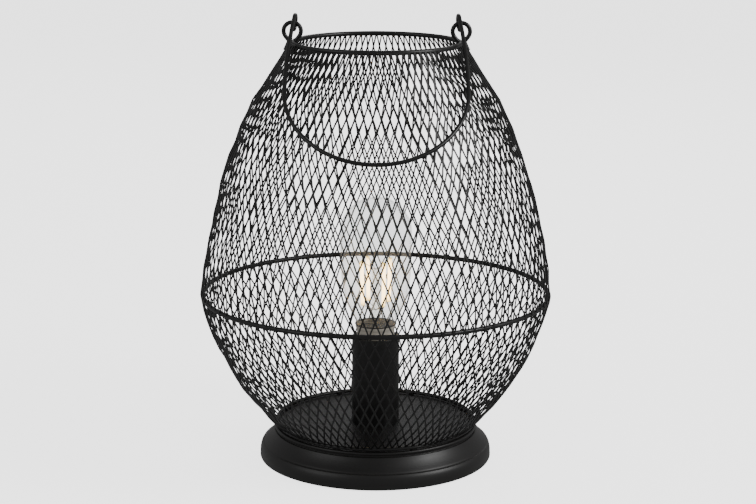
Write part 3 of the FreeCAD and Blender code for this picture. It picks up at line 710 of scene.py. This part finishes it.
class LANTERN_OT_mesh(bpy.types.Operator):
    """Diamond mesh of the basket, in an upper and a lower net."""
    bl_idname = "lantern.mesh"
    bl_label = "Mesh"
    bl_options = {"REGISTER", "UNDO"}

    def net(self, name, line, rows, growth, node, material, pull):
        """A wall of squares is poked and loses its first edges, which leaves diamonds to be cut open."""
        s = bpy.context.scene.lantern.basket
        draw_rings(graded_places(smooth_places(line, 12), rows, growth), s.diamonds)
        bpy.ops.mesh.select_all(action="SELECT")
        bpy.ops.transform.rotate(value=NET_TURN, orient_axis="Z", center_override=(0, 0, 0))
        bpy.ops.mesh.mark_seam()
        bpy.ops.mesh.poke(offset=OPENING_LIFT)
        bpy.ops.mesh.select_all(action="DESELECT")
        bpy.ops.object.mode_set(mode="OBJECT")
        for e in bpy.context.object.data.edges:
            e.select = e.use_seam
        bpy.ops.object.mode_set(mode="EDIT")
        bpy.ops.mesh.select_mode(type="EDGE")
        bpy.ops.mesh.dissolve_edges(use_verts=False)
        bpy.ops.mesh.select_all(action="SELECT")
        bpy.ops.mesh.normals_make_consistent(inside=False)
        bpy.ops.mesh.mark_seam(clear=True)
        bpy.ops.object.mode_set(mode="OBJECT")
        apply_modifier("DISPLACE", texture=pull, texture_coords="LOCAL", direction="RGB_TO_XYZ",
                       strength=s.stretch, mid_level=0.5)
        edit("FACE")
        bpy.ops.mesh.inset(thickness=s.strand / 2, depth=0.0, use_individual=True)
        bpy.ops.mesh.delete(type="FACE")
        bpy.ops.object.mode_set(mode="OBJECT")
        apply_modifier("SOLIDIFY", thickness=s.sheet, offset=0.0, use_even_offset=True)
        edit()
        dress(finish_mesh(name, 30), material, "lamp", node)

    def execute(self, context):
        s = context.scene.lantern.basket
        material = paint("mesh paint", s.paint, 0.46)
        pull = bpy.data.textures.new("uneven stretch", "CLOUDS")
        pull.cloud_type = "COLOR"
        pull.noise_scale = STRETCH_SIZE
        pull.noise_depth = 1
        mid = middle("middle_ring")[2]

        def from_middle(line, last):
            between = [(r * MM - s.sheet / 2, mid + h * MM) for r, h in line]
            return [(s.belly, mid)] + between + [last]

        upper = from_middle(UPPER_LINE, (outer_radius("top_ring"), middle("top_ring")[2]))
        lower = from_middle(LOWER_LINE, (outer_radius("bottom_ring") - 0.6 * MM,
                                         middle("bottom_ring")[2] - s.drop))
        self.net("upper_net", upper, s.upper_rows, UPPER_GROWTH, "upper_mesh", material, pull)
        self.net("lower_net", lower, s.lower_rows, 0.0, "lower_mesh", material, pull)
        return {"FINISHED"}


class LANTERN_OT_rings(bpy.types.Operator):
    """The three wire rings of the basket, and the lugs under the lowest one."""
    bl_idname = "lantern.rings"
    bl_label = "Rings"
    bl_options = {"REGISTER", "UNDO"}

    def execute(self, context):
        s = context.scene.lantern.basket
        material = paint("ring paint", s.paint, 0.4)
        for name, node, wire, drop in (("top_wire_ring", "top_ring", s.top_wire, 0.0),
                                       ("middle_wire_ring", "middle_ring", s.ring_wire, 0.0),
                                       ("bottom_wire_ring", "bottom_ring", s.low_wire, s.drop)):
            deselect()
            bpy.ops.mesh.primitive_torus_add(location=(0, 0, middle(node)[2] - drop),
                                             major_radius=outer_radius(node) - wire, minor_radius=wire,
                                             major_segments=180, minor_segments=16)
            bpy.ops.object.mode_set(mode="EDIT")
            dress(finish_mesh(name, 60), material, "lamp", node)
        dress_nodes(material, "spacer_lugs")
        return {"FINISHED"}


class LANTERN_OT_eyes(bpy.types.Operator):
    """The two wire eyes that carry the handle, each with two legs welded to the basket."""
    bl_idname = "lantern.eyes"
    bl_label = "Eyes"
    bl_options = {"REGISTER", "UNDO"}

    def loop(self, name, centre, drop):
        """The eye, a drop-shaped loop whose ends meet at a foot below its centre."""
        s = bpy.context.scene.lantern.handle
        foot = Vector((s.eye_wire * 1.02, 0, -drop))
        turn = math.atan2(-drop, foot.x) + math.acos(s.eye / math.hypot(foot.x, drop))
        touch = Vector((s.eye * math.cos(turn), 0, s.eye * math.sin(turn)))
        wire_start(s.eye_wire, centre + foot, touch - foot)
        wire_run(touch - foot)
        wire_turn(centre, (0, -1, 0), math.pi - 2 * turn, 36)
        wire_run((touch.x - foot.x, 0, -drop - touch.z))
        fill_ends()
        return finish_mesh(name, 50)

    def leg(self, ring, side, across):
        """A short wire that leans from inside the ring down the outside of the mesh."""
        wire = bpy.context.scene.lantern.handle.eye_wire
        low = ring + Vector((side * 6.3 * MM, across * wire, -6.5 * MM))
        high = ring + Vector((side * 1.4 * MM, across * wire * 0.8, 4.5 * MM))
        return rod(low, high, wire * 0.95, sides=14)

    def execute(self, context):
        s = context.scene.lantern
        material = paint("eye paint", s.basket.paint, 0.38)
        for name, node, side in (("left_wire_eye", "eye_left", -1), ("right_wire_eye", "eye_right", 1)):
            ring = Vector((side * (outer_radius("top_ring") - CAD_RING_WIRE), 0, middle("top_ring")[2]))
            centre = Vector((ring.x, 0, top_of(node) - CAD_EYE_WIRE - s.handle.eye))
            made = [self.loop(name, centre, centre.z - ring.z - 0.4 * MM)]
            made += [self.leg(ring, side, across) for across in (-1, 1)]
            dress(join(name, made), material, "lamp", node)
        return {"FINISHED"}


class LANTERN_OT_handle(bpy.types.Operator):
    """The wire handle: a round grip end, two bowed legs and a hook at each end."""
    bl_idname = "lantern.handle"
    bl_label = "Handle"
    bl_options = {"REGISTER", "UNDO"}

    def execute(self, context):
        s = context.scene.lantern.handle
        hinge = top_of("eye_left") - CAD_EYE_WIRE
        hook_x = outer_radius("top_ring") - CAD_RING_WIRE - HOOK_INSET
        grip_z = hinge - s.leg

        # The leg is an arc that is upright where it meets the grip, so it leans at the hook.
        bow = s.grip - hook_x
        leg_r = (s.leg ** 2 + bow ** 2) / (2 * bow)
        lean = math.asin(s.leg / leg_r)

        # The hook turns in the leaning plane of the leg's upper end.
        front = Vector((0, -1, 0))
        rise = Vector((-math.sin(lean), 0, math.cos(lean)))
        centre = Vector((hook_x, 0, hinge))
        sweep = math.radians(305)
        start = centre + (front * math.cos(sweep) + rise * math.sin(sweep)) * s.hook
        along = front * math.sin(sweep) - rise * math.cos(sweep)

        # Half of the handle hangs straight down: hook, leg and half the grip. It is mirrored, then tilted.
        wire_start(s.wire, start, along)
        wire_turn(centre, (math.cos(lean), 0, math.sin(lean)), sweep, 40)
        wire_turn((s.grip - leg_r, -s.hook, grip_z), (0, 1, 0), lean, 12)
        wire_turn((0, -s.hook, grip_z), (0, 1, 0), math.pi / 2, 36)
        bpy.ops.mesh.select_all(action="SELECT")
        bpy.ops.object.mode_set(mode="OBJECT")
        apply_modifier("MIRROR", use_mirror_merge=True, merge_threshold=1e-5)
        edit()
        fill_ends()
        bpy.ops.transform.rotate(value=s.tilt, orient_axis="X", center_override=(0, 0, hinge))
        obj = finish_mesh("wire_handle", 50)
        dress(obj, paint("handle paint", context.scene.lantern.basket.paint, 0.36), "bail", "bail_handle")
        return {"FINISHED"}


class LANTERN_OT_stage(bpy.types.Operator):
    """Floor, soft lights and the camera."""
    bl_idname = "lantern.stage"
    bl_label = "Stage"
    bl_options = {"REGISTER", "UNDO"}

    def floor(self, s):
        deselect()
        bpy.ops.mesh.primitive_plane_add(size=120.0, location=(0, 0, -0.2 * MM))
        plane = bpy.context.object
        plane.name = "floor"
        give(plane, studio_floor("floor", s.floor, s.shine))
        plane.visible_glossy = False
        plane.visible_diffuse = False
        return plane

    def light(self, name, spot, aim, size, power):
        way = Vector(aim) - Vector(spot)
        bpy.ops.object.light_add(type="AREA", location=spot, rotation=way.to_track_quat("-Z", "Y").to_euler())
        lamp = bpy.context.object
        lamp.name = name
        lamp.data.shape = "RECTANGLE"
        lamp.data.size, lamp.data.size_y = size
        lamp.data.energy = power
        return lamp

    def camera(self, s):
        bpy.ops.object.camera_add(location=(CAMERA_SIDE, -s.distance, s.height))
        eye = bpy.context.object
        turn = Euler((math.pi / 2 - s.pitch, 0, 0)).to_matrix() @ Matrix.Rotation(s.roll, 3, "Z")
        eye.rotation_euler = turn.to_euler()
        eye.data.lens = s.lens
        eye.data.sensor_width = 36.0
        eye.data.sensor_fit = "HORIZONTAL"
        eye.data.clip_end = 150.0
        return eye

    def execute(self, context):
        s = context.scene.lantern.stage
        made = [self.floor(s)]
        for name, spot, aim, size, share in LIGHTS:
            made.append(self.light(name, spot, aim, size, s.key * share))
        world = bpy.data.worlds.new("Studio")
        context.scene.world = world
        world.use_nodes = True
        sky = world.node_tree.nodes["Background"].inputs
        sky["Color"].default_value = (1.0, 1.0, 1.0, 1.0)
        sky["Strength"].default_value = s.sky
        made.append(self.camera(s))
        context.scene.camera = made[-1]
        return {"FINISHED"}


PIECES = (LANTERN_OT_foot, LANTERN_OT_sleeve, LANTERN_OT_bulb, LANTERN_OT_mesh, LANTERN_OT_rings,
          LANTERN_OT_eyes, LANTERN_OT_handle, LANTERN_OT_stage)


class LANTERN_PT_panel(bpy.types.Panel):
    """Lists the pieces of the lamp and their sizes."""
    bl_label = "Lantern"
    bl_idname = "LANTERN_PT_panel"
    bl_space_type = "VIEW_3D"
    bl_region_type = "UI"
    bl_category = "Lantern"

    def draw(self, context):
        settings = context.scene.lantern
        for group_name in ("foot", "bulb", "basket", "handle", "stage"):
            group = getattr(settings, group_name)
            box = self.layout.box()
            box.label(text=group_name.capitalize())
            for key in group.bl_rna.properties.keys():
                if key not in {"rna_type", "name"}:
                    box.prop(group, key)
        for piece in PIECES:
            self.layout.operator(piece.bl_idname)


CLASSES = (BasketSettings, HandleSettings, FootSettings, BulbSettings, StageSettings, LanternSettings,
           *PIECES, LANTERN_PT_panel)


def register():
    for cls in CLASSES:
        bpy.utils.register_class(cls)
    bpy.types.Scene.lantern = PointerProperty(type=LanternSettings)


def unregister():
    del bpy.types.Scene.lantern
    for cls in reversed(CLASSES):
        bpy.utils.unregister_class(cls)


def main():
    register()
    for piece in PIECES:
        family, name = piece.bl_idname.split(".")
        result = getattr(getattr(bpy.ops, family), name)()
        if result != {"FINISHED"}:
            raise RuntimeError(piece.bl_label + " was not built")


if __name__ == "__main__":
    main()
